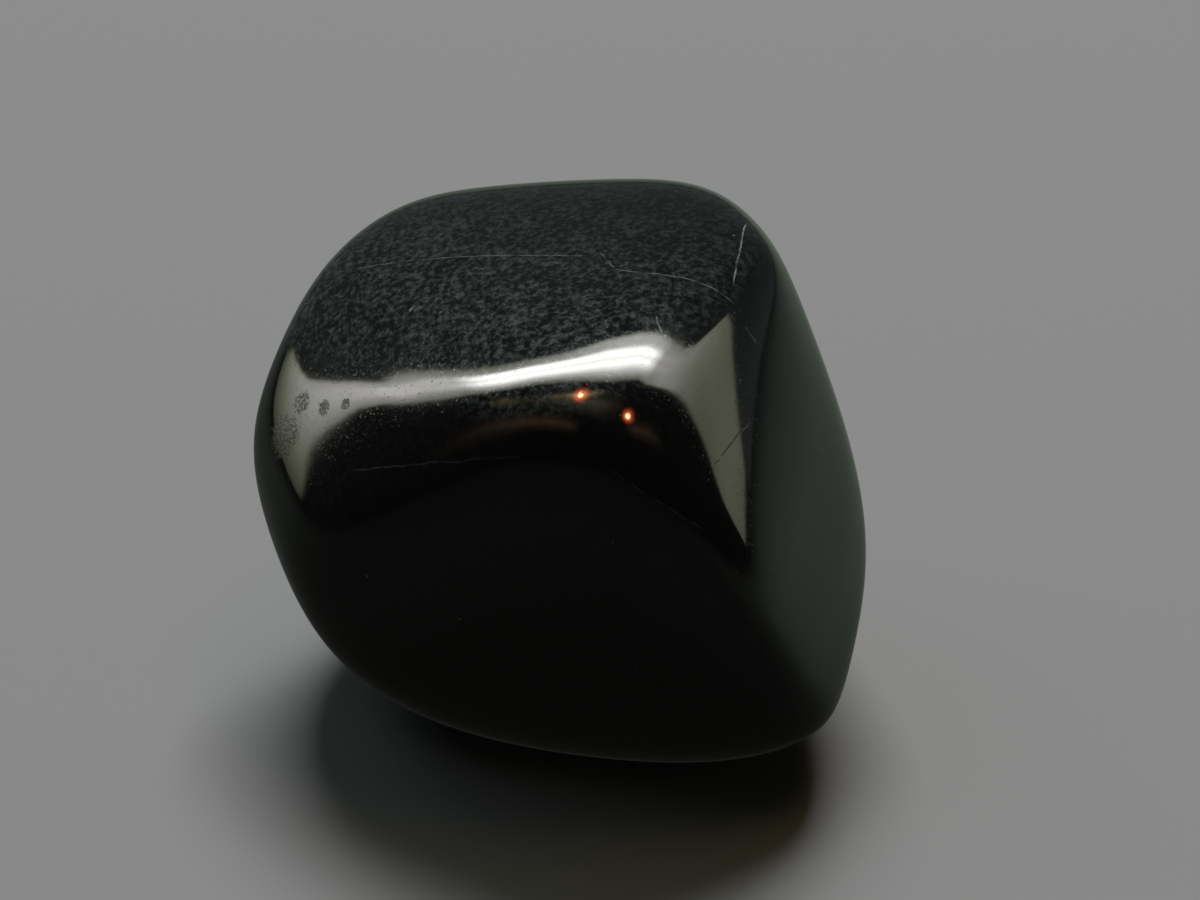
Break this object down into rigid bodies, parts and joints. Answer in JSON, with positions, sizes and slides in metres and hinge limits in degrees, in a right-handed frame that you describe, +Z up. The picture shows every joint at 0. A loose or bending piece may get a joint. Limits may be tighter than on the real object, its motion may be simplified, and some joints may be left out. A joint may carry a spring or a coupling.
{
  "type": "tumbled shungite stone",
  "caption": "Blocky tumbled pebble of polished black shungite with broad worn faces, soft rounded edges and a small flat to rest on.",
  "frame": {"origin": "on the surface the stone rests on, under the middle of its box", "axes": "+X across the stone to its grey side face, +Y from the front face to the back, +Z up from the flat it rests on"},
  "size_m": [0.0268, 0.0216, 0.0221],
  "materials": {
    "polished_shungite": "near-black carbon rock tumbled to a glassy polish, with a faint grain, pale hairline cracks and a few tiny pits"
  },
  "bodies": {
    "root": {"stone": "polished_shungite"}
  },
  "joints": []
}
